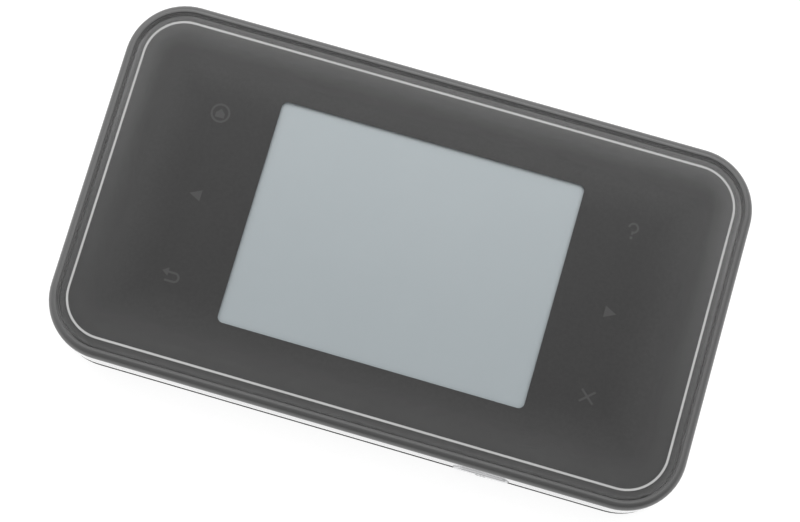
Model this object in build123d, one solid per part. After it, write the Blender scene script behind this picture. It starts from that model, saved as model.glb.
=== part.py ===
from build123d import *
import os

# A battery-powered mobile hotspot with a touch face, in millimetres.
# X runs along the long sides, +Y towards the top of the display, +Z out of the face.
# The origin is under the middle of the face, in the plane of the rubber feet.

# Face outline: a thin pale line near the edge. Every rim, wall and cover follows it at an offset.
line_length = 98.0
line_width = 53.15
line_radius = 6.65
line_stroke = 0.35
line_depth = 0.15

# Heights, stacked up from the table
foot_height = 0.4
cover_thickness = 1.1
tub_gap = 0.3
battery_gap = 0.4
battery_thickness = 5.2
pocket_gap = 0.3
ceiling_thickness = 0.8
board_thickness = 0.8
plate_thickness = 0.3
lcd_height = 2.0
gasket_thickness = 0.3
mask_thickness = 0.1
lens_thickness = 1.5

# Cover lens and bezel rim, as offsets from the pale line
lens_offset = 1.55
lens_chamfer = 0.3
lens_relief = 0.02
lens_land = 0.25
groove_depth = 0.55
rim_gap = 0.25
rim_lip = 0.25
rim_sink = 0.3
rim_bulge = 0.28
rim_round = 0.08
rim_foot_gap = 0.05
bezel_offset = 3.15
bezel_drop = 1.85
bezel_foot = 0.15
adhesive_thickness = 0.2
adhesive_width = 2.2
ledge_thickness = 0.9
ledge_width = 3.2
ledge_corner_radius = 13.0
skirt_height = 1.1
skirt_thickness = 1.0

# Silver side band
band_thickness = 1.05
band_bulge = 0.15
band_edge_round = 0.12

# Inner tub
fit_gap = 0.1
tub_wall = 1.0
tub_floor = 0.9
shelf_thickness = 0.8
pocket_wall = 0.8
pocket_clearance = 0.3

# Back cover
parting_gap = 0.15
cover_height = 2.6
cover_stand = 0.12
cover_round = 2.2
lip_thickness = 0.8
lip_height = 1.3
lip_clearance = 0.3
bead_length = 8.0
bead_depth = 0.25
bead_height = 0.6
notch_length = 12.0
notch_depth = 0.95
notch_height = 0.7
foot_length = 9.0
foot_width = 3.2
foot_recess = 0.4
foot_inset_x = 11.0
foot_inset_y = 7.6
foot_chamfer = 0.15

# Screws that hold tub, board and bezel together
screw_inset = 4.4
screw_radius = 0.78
thread_hole_radius = 0.8
screw_hole_radius = 0.95
screw_head_radius = 1.5
screw_head_height = 0.8
screw_head_depth = 1.1
screw_recess_radius = 1.7
screw_bite = 1.6
screw_drive_radius = 0.5
screw_drive_depth = 0.4
tub_boss_radius = 2.4
bezel_boss_radius = 2.0

# Display
window_length = 50.45
window_width = 37.26
window_radius = 1.0
lcd_length = 60.3
lcd_width = 42.7
lcd_wall = 0.6
lcd_gap = 0.25
panel_thickness = 1.1
gasket_margin = 0.6
flex_width = 16.0
flex_thickness = 0.12
flex_drop = 0.6
flex_reach = 1.3
flex_tail = 2.0
connector_depth = 1.4
connector_height = 1.0

# Touch keys beside the display
key_column = 34.4
key_pitch = 13.85
key_board_length = 38.0
key_board_width = 6.4
key_board_thickness = 0.6
reflector_length = 36.0
reflector_height = 0.7
well_side = 4.6
led_length = 1.6
led_width = 0.8
led_height = 0.5
symbol_stroke = 0.35
ring_diameter = 3.2
house_width = 1.5
house_height = 1.5
arrow_side = 1.9
back_bar = 1.5
back_spacing = 1.4
help_radius = 0.72
help_stem = 0.55
cross_width = 3.0
cross_angle = 42.0

# Circuit board and what it carries
board_offset = 0.5
plate_length = 62.0
plate_top_margin = 3.0
plate_edge_inset = 0.375
shield_height = 1.15
shield_wall = 0.2
shield_gap = 1.3
shield_outer_margin = 2.5
modem_shield_length = 37.0
wifi_shield_length = 21.0
chip_side = 9.0
chip_height = 0.8
coil_side = 3.2
coil_height = 1.05
capacitor_length = 2.0
capacitor_width = 1.2
capacitor_height = 0.9
component_pitch = 4.4

# Battery and its pocket
battery_length = 60.0
battery_width = 44.0
battery_shift_x = 6.0
battery_shift_y = 3.4
battery_round = 0.8
pad_width = 1.4
pad_height = 1.6
pad_depth = 0.15
pad_drop = 1.0
contact_count = 4
contact_pitch = 2.4
contact_x = -13.0
contact_blade_width = 1.0
contact_blade_gap = 0.1
contact_depth = 3.9
contact_height = 3.8
scoop_width = 12.0
scoop_depth = 2.6
scoop_height = 2.7

# SIM card and the well it slides in
sim_length = 15.0
sim_width = 12.0
sim_thickness = 0.76
sim_corner_cut = 2.5
sim_travel = 12.0
sim_overhang = 1.5
socket_wall = 0.9
socket_skin = 0.2
socket_gap = 0.1
socket_window = 8.0
well_x = -34.25
well_margin = 0.35
well_top = 21.5
well_end_gap = 3.0

# Antennas: thin conductors on the tub's floor, joined to the board by springs
antenna_thickness = 0.3
antenna_slot = 0.6
antenna_slot_pitch = 3.0
main_antenna_length = 38.0
main_antenna_width = 7.3
diversity_antenna_length = 11.0
diversity_antenna_width = 5.1
wifi_antenna_length = 18.0
wifi_antenna_width = 5.0
wifi_antenna_x = 5.0
antenna_wall_gap = 0.6
spring_width = 1.5
spring_thickness = 0.15
spring_reach = 2.4

# USB socket in the left side
usb_length = 5.5
usb_width = 7.6
usb_height = 2.6
usb_wall = 0.3
usb_corner = 0.5
usb_recess = 0.2
usb_clearance = 0.2
tongue_length = 4.2
tongue_width = 5.0
tongue_height = 0.6

# Power button in the lower side, with its switch
button_x = 21.7
button_length = 9.0
button_height = 3.0
button_clearance = 0.15
button_stand = 0.35
button_travel = 0.35
button_rim = 0.45
button_round = 0.25
flange_thickness = 0.6
flange_gap = 0.05
flange_window_gap = 0.4
post_width = 2.4
post_height = 1.2
switch_length = 4.6
switch_depth = 3.2
switch_height = 1.8
switch_offset = -0.6
plunger_width = 2.2
plunger_height = 1.0
plunger_stand = 0.9
plunger_root = 0.8
plunger_clearance = 0.06
plunger_room = 0.35

# Levels that follow from the stack
cover_floor = foot_height + cover_thickness
tub_base = cover_floor + tub_gap
battery_base = cover_floor + battery_gap
battery_top = battery_base + battery_thickness
ceiling_base = battery_top + pocket_gap
board_base = ceiling_base + ceiling_thickness
board_top = board_base + board_thickness
lcd_base = board_top + plate_thickness
lcd_top = lcd_base + lcd_height
mask_base = lcd_top + gasket_thickness
lens_base = mask_base + mask_thickness
face = lens_base + lens_thickness
ledge_top = mask_base - adhesive_thickness
ledge_base = ledge_top - ledge_thickness
band_top = face - bezel_drop
cover_rim = foot_height + cover_height
band_base = cover_rim + parting_gap
lip_top = cover_rim + lip_height
shelf_base = lip_top + lip_clearance
tub_floor_top = tub_base + tub_floor
shelf_top = shelf_base + shelf_thickness

# Offsets from the pale line that follow from the walls
rim_inner = lens_offset + rim_gap
cover_offset = bezel_offset + cover_stand
ridge_offset = rim_inner + rim_lip
band_inner = bezel_offset - band_thickness
tub_outer = band_inner - fit_gap
tub_inner = tub_outer - tub_wall
lip_outer = band_inner - lip_clearance - fit_gap / 2
lip_inner = lip_outer - lip_thickness
low_wall_outer = lip_inner - lip_clearance
low_wall_inner = low_wall_outer - tub_wall
skirt_outer = tub_inner - fit_gap
skirt_inner = skirt_outer - skirt_thickness

# Places that more than one piece uses
half_length = line_length / 2
half_width = line_width / 2
corner_x = half_length - line_radius
corner_y = half_width - line_radius
screw_x = half_length - screw_inset
screw_y = half_width - screw_inset
key_rows = (key_pitch, 0.0, -key_pitch)
battery_left = battery_shift_x - battery_length / 2
battery_right = battery_shift_x + battery_length / 2
battery_bottom = battery_shift_y - battery_width / 2
battery_top_side = battery_shift_y + battery_width / 2
button_z = shelf_top + button_rim + button_height / 2 + fit_gap
usb_z = board_base - usb_height / 2
usb_mouth = -(half_length + bezel_offset) + usb_recess
sim_z = board_base - socket_skin - socket_gap / 2 - sim_thickness


def outline(offset):
    """The face's rounded outline, moved outwards by an offset."""
    return RectangleRounded(
        line_length + 2 * offset,
        line_width + 2 * offset,
        line_radius + offset,
    )


def slab(shape, low, high):
    """A flat shape pulled up from one height to another."""
    return extrude(Pos(0, 0, low) * shape, amount=high - low)


def ring(inner, outer, low, high):
    """A wall that follows the outline between two offsets."""
    return slab(outline(outer) - outline(inner), low, high)


def block(low, high):
    """A box between two corners."""
    size = [b - a for a, b in zip(low, high)]
    middle = [(a + b) / 2 for a, b in zip(low, high)]
    return Pos(*middle) * Box(*size)


def rim(profile):
    """Carries a profile, drawn as (offset, height), right round the outline."""
    section = Plane.XZ * Pos(line_radius, 0) * profile
    quarter = revolve(section, Axis.Z, 90)
    whole = None
    for turn, sign_x, sign_y in ((0, 1, 1), (90, -1, 1), (180, -1, -1), (270, 1, -1)):
        corner = Pos(sign_x * corner_x, sign_y * corner_y) * Rot(0, 0, turn) * quarter
        run = 2 * corner_y if turn in (0, 180) else 2 * corner_x
        side = Rot(0, 0, turn) * extrude(section, amount=run)
        side = Pos(sign_x * corner_x, sign_y * corner_y) * side
        pair = corner + side
        whole = pair if whole is None else whole + pair
    return whole


def four_corners(x, y):
    """The four mirrored places of one point."""
    return [(sx * x, sy * y) for sx in (-1, 1) for sy in (-1, 1)]


def obround(length, height):
    """A slot shape with round ends."""
    return SlotOverall(length, height)


def save(piece, name):
    """Writes one node."""
    export_step(piece, f"parts/{name}.step")


# ---------------------------------------------------------------- face


def touch_lens():
    lens = slab(outline(lens_offset), lens_base, face)
    lens = chamfer(lens.faces().sort_by(Axis.Z)[-1].edges(), lens_chamfer)
    lens -= slab(outline(lens_offset - lens_land), lens_base, lens_base + lens_relief)
    return lens - accent_ring()


def accent_ring():
    return ring(-line_stroke / 2, line_stroke / 2, face - line_depth, face)


def home_symbol():
    ring_shape = Circle(ring_diameter / 2) - Circle(ring_diameter / 2 - symbol_stroke)
    half = house_width / 2
    house = make_face(
        Polyline(
            (-half, -house_height / 2),
            (half, -house_height / 2),
            (half, 0),
            (0, house_height / 2),
            (-half, 0),
            (-half, -house_height / 2),
        )
    )
    return ring_shape + house


def arrow_symbol(direction):
    half = arrow_side / 2
    return make_face(
        Polyline(
            (direction * half, 0),
            (-direction * half, half),
            (-direction * half, -half),
            (direction * half, 0),
        )
    )


def back_symbol():
    half = back_spacing / 2
    end = back_bar / 2
    head = symbol_stroke * 2
    hook = Pos(end, 0) * (Circle(half + symbol_stroke / 2) - Circle(half - symbol_stroke / 2))
    hook = hook & Pos(end + half, 0) * Rectangle(2 * half, 2 * half + 2 * symbol_stroke)
    upper = Pos(0, half) * Rectangle(back_bar, symbol_stroke)
    lower = Pos(0, -half) * Rectangle(back_bar, symbol_stroke)
    point = make_face(
        Polyline(
            (-end - head, half),
            (-end + head / 2, half + head),
            (-end + head / 2, half - head),
            (-end - head, half),
        )
    )
    return hook + upper + lower + point


def help_symbol():
    bow = Circle(help_radius + symbol_stroke / 2) - Circle(help_radius - symbol_stroke / 2)
    bow -= Pos(-help_radius, -help_radius) * Rectangle(2 * help_radius, 2 * help_radius)
    stem = Pos(0, -help_radius - help_stem / 2 + symbol_stroke / 2) * Rectangle(symbol_stroke, help_stem)
    dot = Pos(0, -help_radius - help_stem - symbol_stroke) * Circle(symbol_stroke * 0.7)
    return Pos(0, symbol_stroke) * (bow + stem + dot)


def cross_symbol():
    stroke = Rectangle(cross_width, symbol_stroke)
    return Rot(0, 0, cross_angle) * stroke + Rot(0, 0, -cross_angle) * stroke


def symbol_shapes():
    """The six touch symbols, each at its key."""
    left = (home_symbol(), arrow_symbol(-1), back_symbol())
    right = (help_symbol(), arrow_symbol(1), cross_symbol())
    shapes = [Pos(-key_column, y) * shape for y, shape in zip(key_rows, left)]
    return shapes + [Pos(key_column, y) * shape for y, shape in zip(key_rows, right)]


def key_symbols():
    slabs = [slab(shape, mask_base, lens_base) for shape in symbol_shapes()]
    return Compound(children=[solid for piece in slabs for solid in piece.solids()])


def lens_mask():
    film = slab(outline(lens_offset - fit_gap), mask_base, lens_base)
    film -= slab(RectangleRounded(window_length, window_width, window_radius), mask_base, lens_base)
    for shape in symbol_shapes():
        film -= slab(shape, mask_base, lens_base)
    return film


def lens_adhesive():
    outer = lens_offset - fit_gap
    return ring(outer - adhesive_width, outer, ledge_top, mask_base)


def front_bezel():
    bottom = band_top
    top = face - rim_sink
    foot = bottom + bezel_foot
    middle = ((ridge_offset + bezel_offset) / 2, (top + foot) / 2)
    chord = Vector(bezel_offset - ridge_offset, foot - top)
    outward = Vector(-chord.Y, chord.X).normalized() * rim_bulge
    profile = make_face(
        Polyline(
            (ridge_offset, top),
            (rim_inner, top),
            (rim_inner, bottom),
            (bezel_offset, bottom),
            (bezel_offset, foot),
        )
        + ThreePointArc(
            (bezel_offset, foot),
            (middle[0] + outward.X, middle[1] + outward.Y),
            (ridge_offset, top),
        )
    )
    ridge = profile.vertices().sort_by(Axis.Y)[-2:]
    profile = fillet(ridge, rim_round)
    bezel = rim(profile)
    bezel += ring(lens_offset + rim_foot_gap, ridge_offset, bottom, face - groove_depth)
    window = RectangleRounded(
        line_length + 2 * (tub_outer - ledge_width),
        line_width + 2 * (tub_outer - ledge_width),
        ledge_corner_radius,
    )
    bezel += slab(outline(tub_outer) - window, ledge_base, ledge_top)
    bezel += ring(skirt_inner, skirt_outer, ledge_base - skirt_height, ledge_base)
    for x, y in four_corners(screw_x, screw_y):
        bezel += Pos(x, y) * slab(Circle(bezel_boss_radius), board_top, ledge_top)
        bezel -= Pos(x, y) * slab(Circle(thread_hole_radius), board_top, board_top + screw_bite + fit_gap)
    return bezel


# ---------------------------------------------------------------- display


def lcd_frame():
    tray = slab(RectangleRounded(lcd_length, lcd_width, lcd_wall), lcd_base, lcd_top)
    recess = block(
        (-lcd_length / 2 + lcd_wall, -lcd_width / 2 + lcd_wall, lcd_top - panel_thickness),
        (lcd_length / 2 - lcd_wall, lcd_width / 2 - lcd_wall, lcd_top),
    )
    return tray - recess


def lcd_panel():
    reach = lcd_wall + lcd_gap
    return block(
        (-lcd_length / 2 + reach, -lcd_width / 2 + reach, lcd_top - panel_thickness),
        (lcd_length / 2 - reach, lcd_width / 2 - reach, lcd_top),
    )


def lcd_gasket():
    outer = Rectangle(lcd_length - lcd_wall, lcd_width - lcd_wall)
    inner = Rectangle(window_length + 2 * gasket_margin, window_width + 2 * gasket_margin)
    return slab(outer - inner, lcd_top, mask_base)


def lcd_flex():
    edge = -lcd_width / 2
    top = lcd_base + flex_drop
    bend = edge - flex_reach
    tail = bend - flex_tail
    middle = flex_thickness / 2
    route = FilletPolyline(
        (edge, top),
        (bend, top),
        (bend, board_top + middle),
        (tail, board_top + middle),
        radius=flex_thickness * 2,
    )
    strip = trace(route, line_width=flex_thickness)
    return extrude(Plane.YZ * strip, amount=flex_width / 2, both=True)


def flex_connector():
    tail = -lcd_width / 2 - flex_reach - flex_tail
    body = block(
        (-flex_width / 2 - 1, tail - connector_depth, board_top),
        (flex_width / 2 + 1, tail, board_top + connector_height),
    )
    return chamfer(body.edges().filter_by(Axis.X).group_by(Axis.Z)[-1], fit_gap)


# ---------------------------------------------------------------- touch keys


def key_board(side):
    top = mask_base - reflector_height
    half = key_board_width / 2
    return block(
        (side * key_column - half, -key_board_length / 2, top - key_board_thickness),
        (side * key_column + half, key_board_length / 2, top),
    )


def key_reflector(side):
    low = mask_base - reflector_height
    half = key_board_width / 2
    frame = block(
        (side * key_column - half, -reflector_length / 2, low),
        (side * key_column + half, reflector_length / 2, mask_base),
    )
    well = Box(well_side, well_side, reflector_height)
    for y in key_rows:
        frame -= Pos(side * key_column, y, (low + mask_base) / 2) * well
    return frame


def key_leds():
    low = mask_base - reflector_height
    led = Box(led_length, led_width, led_height, align=(Align.CENTER, Align.CENTER, Align.MIN))
    return Compound(children=[Pos(side * key_column, y, low) * led for side in (-1, 1) for y in key_rows])


# ---------------------------------------------------------------- electronics


def mid_plate():
    plate = block(
        (-plate_length / 2, -lcd_width / 2 + plate_edge_inset, board_top),
        (plate_length / 2, half_width - plate_top_margin, lcd_base),
    )
    plate = fillet(plate.edges().filter_by(Axis.Z), 1.5)
    return plate


def main_board():
    board = slab(outline(board_offset), board_base, board_top)
    for x, y in four_corners(screw_x, screw_y):
        board -= Pos(x, y) * slab(Circle(screw_hole_radius), board_base, board_top)
    return board


def shield(side, low_y, length):
    """A metal can, open towards the board."""
    inner = plate_length / 2 + shield_gap / 2
    outer = half_length - shield_outer_margin
    low_x, high_x = sorted((side * inner, side * outer))
    can = block((low_x, low_y, board_top), (high_x, low_y + length, board_top + shield_height))
    can = fillet(can.edges().filter_by(Axis.Z), 0.6)
    hollow = block(
        (low_x + shield_wall, low_y + shield_wall, board_top),
        (high_x - shield_wall, low_y + length - shield_wall, board_top + shield_height - shield_wall),
    )
    return can - hollow


def modem_shield():
    return shield(-1, -modem_shield_length / 2, modem_shield_length)


def wifi_shield():
    return shield(1, -modem_shield_length / 2, wifi_shield_length)


def radio_chips():
    middle = (plate_length / 2 + shield_gap / 2 + half_length - shield_outer_margin) / 2
    chip = Box(chip_side, chip_side, chip_height, align=(Align.CENTER, Align.CENTER, Align.MIN))
    wifi_y = (wifi_shield_length - modem_shield_length) / 2
    places = ((-middle, chip_side), (-middle, -chip_side), (middle, wifi_y))
    return Compound(children=[Pos(x, y, board_top) * chip for x, y in places])


def power_components():
    align = (Align.CENTER, Align.CENTER, Align.MIN)
    coil = Box(coil_side, coil_side, coil_height, align=align)
    coil = chamfer(coil.edges().filter_by(Axis.Z), coil_side / 6)
    capacitor = Box(capacitor_length, capacitor_width, capacitor_height, align=align)
    left = plate_length / 2 + component_pitch / 2 + shield_gap
    low = wifi_shield_length - modem_shield_length / 2 + component_pitch
    parts = []
    for column in range(3):
        x = left + column * component_pitch
        parts.append(Pos(x, low, board_top) * coil)
        parts.append(Pos(x, low + component_pitch, board_top) * capacitor)
        parts.append(Pos(x, low + component_pitch + 2 * capacitor_width, board_top) * capacitor)
    return Compound(children=parts)


def battery():
    pack = block(
        (battery_left, battery_bottom, battery_base),
        (battery_right, battery_top_side, battery_top),
    )
    pack = fillet(pack.edges(), battery_round)
    return pack - battery_pads()


def contact_places():
    return [contact_x + (i - (contact_count - 1) / 2) * contact_pitch for i in range(contact_count)]


def battery_pads():
    high = battery_top - pad_drop
    return Compound(
        children=[
            block(
                (x - pad_width / 2, battery_bottom, high - pad_height),
                (x + pad_width / 2, battery_bottom + pad_depth, high),
            )
            for x in contact_places()
        ]
    )


def contact_body_box(margin):
    """The contact block's space, grown by a margin."""
    half = contact_count * contact_pitch / 2 + margin
    front = battery_bottom - pocket_clearance - fit_gap
    return (
        (contact_x - half, front - contact_depth - margin, board_base - contact_height - margin),
        (contact_x + half, front, board_base),
    )


def battery_contacts():
    low, high = contact_body_box(0)
    body = block(low, high)
    blade_high = battery_top - pad_drop - fit_gap
    for x in contact_places():
        body += block(
            (x - contact_blade_width / 2, high[1] - fit_gap, blade_high - pad_height + 2 * fit_gap),
            (x + contact_blade_width / 2, battery_bottom - contact_blade_gap, blade_high),
        )
    return body


def sim_card():
    half = sim_width / 2
    top = well_top - well_margin - socket_wall
    card = block((well_x - half, top - sim_length, sim_z), (well_x + half, top, sim_z + sim_thickness))
    corner = card.edges().filter_by(Axis.Z).group_by(Axis.Y)[-1].sort_by(Axis.X)[-1]
    return chamfer(corner, sim_corner_cut)


def sim_socket():
    half = sim_width / 2 + socket_gap + socket_wall
    top = well_top - well_margin
    mouth = top - socket_wall - sim_length + sim_overhang
    base = sim_z - socket_gap / 2 - socket_skin
    cage = block((well_x - half, mouth, base), (well_x + half, top, board_base))
    slot_half = sim_width / 2 + socket_gap
    cage -= block(
        (well_x - slot_half, mouth, sim_z - socket_gap / 2),
        (well_x + slot_half, top - socket_wall + socket_gap, board_base - socket_skin),
    )
    middle = (mouth + top) / 2
    cage -= block(
        (well_x - socket_window / 2, middle - socket_window / 2, base),
        (well_x + socket_window / 2, middle + socket_window / 2, sim_z),
    )
    return cage


def meander(low, high, along):
    """A thin conductor cut into a zigzag by slots from alternate sides."""
    plate = block((low[0], low[1], tub_floor_top), (high[0], high[1], tub_floor_top + antenna_thickness))
    count = int((high[along] - low[along] - antenna_slot_pitch) / antenna_slot_pitch)
    across = 1 - along
    reach = (high[across] - low[across]) * 0.7
    for index in range(1, count):
        start = low[along] + index * antenna_slot_pitch
        slot_low = [low[0], low[1]]
        slot_high = [high[0], high[1]]
        slot_low[along] = start
        slot_high[along] = start + antenna_slot
        if index % 2:
            slot_high[across] = low[across] + reach
        else:
            slot_low[across] = high[across] - reach
        plate -= block((*slot_low, tub_floor_top), (*slot_high, tub_floor_top + antenna_thickness))
    return plate


def main_antenna_area():
    high_x = half_length + low_wall_inner - antenna_wall_gap
    half = main_antenna_length / 2
    return (high_x - main_antenna_width, -half), (high_x, half)


def diversity_antenna_area():
    low_x = -(half_length + low_wall_inner - antenna_wall_gap)
    high_y = screw_y - tub_boss_radius - antenna_wall_gap
    return (low_x, high_y - diversity_antenna_length), (low_x + diversity_antenna_width, high_y)


def wifi_antenna_area():
    low_y = -(half_width + low_wall_inner - antenna_wall_gap)
    half = wifi_antenna_length / 2
    return (wifi_antenna_x - half, low_y), (wifi_antenna_x + half, low_y + wifi_antenna_width)


def antenna_springs():
    """One C-shaped leaf from each antenna up to the board."""
    low = tub_floor_top + antenna_thickness
    half = spring_thickness / 2
    route = Polyline(
        (0, low + half),
        (spring_reach, low + half),
        (spring_reach, board_base - half),
        (0, board_base - half),
    )
    leaf = extrude(Plane.XZ * trace(route, line_width=spring_thickness), amount=spring_width / 2, both=True)
    places = []
    for area in (main_antenna_area(), diversity_antenna_area(), wifi_antenna_area()):
        places.append((area[0][0] + antenna_wall_gap, area[0][1] + spring_width))
    return Compound(children=[Pos(x, y) * leaf for x, y in places])


def usb_outline(margin):
    """The socket's outer shape as seen from its mouth, grown by a margin."""
    return RectangleRounded(usb_width + 2 * margin, usb_height + 2 * margin, usb_corner + max(margin, 0))


def usb_bar(shape, start, end):
    """A bar of the given section along X at the socket's height."""
    section = Plane(origin=(start, 0, usb_z), x_dir=(0, 1, 0), z_dir=(1, 0, 0)) * shape
    return extrude(section, amount=end - start)


def usb_port():
    shell = usb_bar(usb_outline(0), usb_mouth, usb_mouth + usb_length)
    inner = RectangleRounded(usb_width - 2 * usb_wall, usb_height - 2 * usb_wall, usb_corner - usb_wall / 2)
    return shell - usb_bar(inner, usb_mouth, usb_mouth + usb_length - usb_wall)


def usb_tongue():
    end = usb_mouth + usb_length - usb_wall
    return usb_bar(Rectangle(tongue_width, tongue_height), end - tongue_length, end)


def button_bar(shape, outer, inner):
    """A bar of the given section along Y at the power button, between two offsets."""
    start = -(half_width + outer)
    section = Plane(origin=(button_x, start, button_z), x_dir=(-1, 0, 0), z_dir=(0, 1, 0)) * shape
    return extrude(section, amount=outer - inner)


def flange_outer():
    return band_inner - flange_gap


def post_tip():
    """The offset where the button's post meets the switch plunger."""
    return switch_offset + plunger_stand


def power_button():
    outer = bezel_offset + band_bulge + button_stand
    cap = button_bar(obround(button_length, button_height), outer, flange_outer())
    front = cap.faces().sort_by(Axis.Y)[0]
    cap = fillet(front.edges(), button_round)
    flange = obround(button_length + 2 * button_rim, button_height + 2 * button_rim)
    flange_inner = flange_outer() - flange_thickness
    cap += button_bar(flange, flange_outer(), flange_inner)
    drop = button_z - (board_base - switch_height / 2)
    cap += Pos(0, 0, -drop) * button_bar(Rectangle(post_width, post_height), flange_inner, post_tip())
    return cap


def power_switch():
    high = board_base
    back = -(half_width + switch_offset)
    body = block(
        (button_x - switch_length / 2, back, high - switch_height),
        (button_x + switch_length / 2, back + switch_depth, high),
    )
    width = plunger_width / 2 + plunger_clearance
    height = plunger_height / 2 + plunger_clearance
    middle = high - switch_height / 2
    bore = block(
        (button_x - width, back, middle - height),
        (button_x + width, back + plunger_root + button_travel + plunger_room, middle + height),
    )
    return body - bore


def switch_plunger():
    front = -(half_width + post_tip())
    middle = board_base - switch_height / 2
    return block(
        (button_x - plunger_width / 2, front, middle - plunger_height / 2),
        (button_x + plunger_width / 2, front + plunger_stand + plunger_root, middle + plunger_height / 2),
    )


# ---------------------------------------------------------------- casing


def side_band():
    middle = (band_base + band_top) / 2
    profile = make_face(
        Polyline(
            (bezel_offset, band_top),
            (band_inner, band_top),
            (band_inner, band_base),
            (bezel_offset, band_base),
        )
        + ThreePointArc(
            (bezel_offset, band_base),
            (bezel_offset + band_bulge, middle),
            (bezel_offset, band_top),
        )
    )
    outer = profile.vertices().sort_by(Axis.X)[-2:]
    profile = fillet(outer, band_edge_round)
    band = rim(profile)
    margin = band_bulge + usb_recess
    band -= usb_bar(usb_outline(usb_clearance), usb_mouth - margin, usb_mouth + band_thickness + margin)
    window = obround(button_length + 2 * button_clearance, button_height + 2 * button_clearance)
    band -= button_bar(window, bezel_offset + 2 * band_bulge, band_inner - fit_gap)
    return band


def pocket_box(margin, low, high):
    """The battery pocket's space in plan, grown by a margin."""
    reach = pocket_clearance + margin
    return block(
        (battery_left - reach, battery_bottom - reach, low),
        (battery_right + reach, battery_top_side + reach, high),
    )


def well_box(margin, low, high):
    """The SIM well's space in plan, grown by a margin."""
    half = sim_width / 2 + socket_gap + socket_wall + well_margin + margin
    bottom = well_top - well_margin - socket_wall - sim_length - sim_travel - well_end_gap
    return block((well_x - half, bottom - margin, low), (well_x + half, well_top + margin, high))


def scoop_box(margin, low, high):
    """The finger scoop beside the battery, grown by a margin."""
    left = battery_right + pocket_clearance
    half = scoop_width / 2 + margin
    return block((left - fit_gap, -half, low), (left + scoop_depth + margin, half, high))


def rear_housing():
    tub = ring(tub_inner, tub_outer, shelf_base, ledge_base)
    tub += ring(low_wall_inner, tub_outer, shelf_base, shelf_top)
    tub += ring(low_wall_inner, low_wall_outer, tub_base, shelf_top)
    tub += slab(outline(low_wall_outer), tub_base, tub_floor_top)
    walls = pocket_box(pocket_wall, tub_base, board_base) + well_box(pocket_wall, tub_base, board_base)
    tub += walls & slab(outline(low_wall_outer), tub_base, board_base)
    tub += scoop_box(pocket_wall, tub_base, tub_base + scoop_height + pocket_wall)
    for x, y in four_corners(screw_x, screw_y):
        tub += Pos(x, y) * slab(Circle(tub_boss_radius), tub_base, board_base)
    tub -= pocket_box(0, tub_base, ceiling_base)
    tub -= well_box(0, tub_base, board_base)
    tub -= scoop_box(0, tub_base, tub_base + scoop_height)
    low, high = contact_body_box(fit_gap)
    tub -= block(low, (high[0], high[1] + pocket_clearance + pocket_wall, board_base))
    for x, y in four_corners(screw_x, screw_y):
        tub -= Pos(x, y) * slab(Circle(screw_hole_radius), tub_base, board_base)
        tub -= Pos(x, y) * slab(Circle(screw_recess_radius), tub_base, tub_base + screw_head_depth)
    window_inner = usb_mouth + usb_length
    tub -= usb_bar(usb_outline(usb_clearance), usb_mouth, window_inner)
    reach = button_rim + flange_window_gap
    flange_window = Rectangle(button_length + 2 * reach, button_height + 2 * button_rim + 2 * fit_gap)
    tub -= button_bar(flange_window, tub_outer + fit_gap, tub_inner - fit_gap)
    return tub


def case_screws():
    seat = tub_base + screw_head_depth
    top = board_top + screw_bite
    head = slab(Circle(screw_head_radius), seat - screw_head_height, seat)
    head = chamfer(head.edges().sort_by(Axis.Z)[0], screw_head_height / 4)
    screw = head + slab(Circle(screw_radius), seat, top)
    drive_base = seat - screw_head_height
    screw -= slab(RegularPolygon(screw_drive_radius, 6), drive_base, drive_base + screw_drive_depth)
    return Compound(children=[Pos(x, y) * screw for x, y in four_corners(screw_x, screw_y)])


def foot_places():
    return four_corners(half_length - foot_inset_x, half_width - foot_inset_y)


def back_cover():
    cover = slab(outline(cover_offset), foot_height, cover_rim)
    cover = fillet(cover.faces().sort_by(Axis.Z)[0].edges(), cover_round)
    cover -= slab(outline(lip_inner), cover_floor, cover_rim)
    cover += ring(lip_inner, lip_outer, cover_floor, lip_top)
    bead_top = lip_top - bead_height / 2
    outer_y = half_width + lip_outer
    outer_x = half_length + lip_outer
    long_bead = Box(bead_length, bead_depth * 2, bead_height, align=(Align.CENTER, Align.CENTER, Align.MAX))
    short_bead = Rot(0, 0, 90) * long_bead
    for x in (-half_length / 2, 0, half_length / 2):
        for sign in (-1, 1):
            cover += Pos(x, sign * outer_y, bead_top) * long_bead
    for y in (-half_width / 3, half_width / 3):
        for sign in (-1, 1):
            cover += Pos(sign * outer_x, y, bead_top) * short_bead
    edge = half_length + cover_offset
    cover -= block(
        (edge - notch_depth, -notch_length / 2, cover_rim - notch_height),
        (edge + fit_gap, notch_length / 2, cover_rim),
    )
    for x, y in foot_places():
        cover -= Pos(x, y) * slab(obround(foot_length, foot_width), foot_height, foot_height + foot_recess)
    return cover


def rubber_feet():
    pad = slab(obround(foot_length, foot_width), 0, foot_height + foot_recess)
    pad = chamfer(pad.faces().sort_by(Axis.Z)[0].edges(), foot_chamfer)
    return Compound(children=[Pos(x, y) * pad for x, y in foot_places()])


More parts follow.
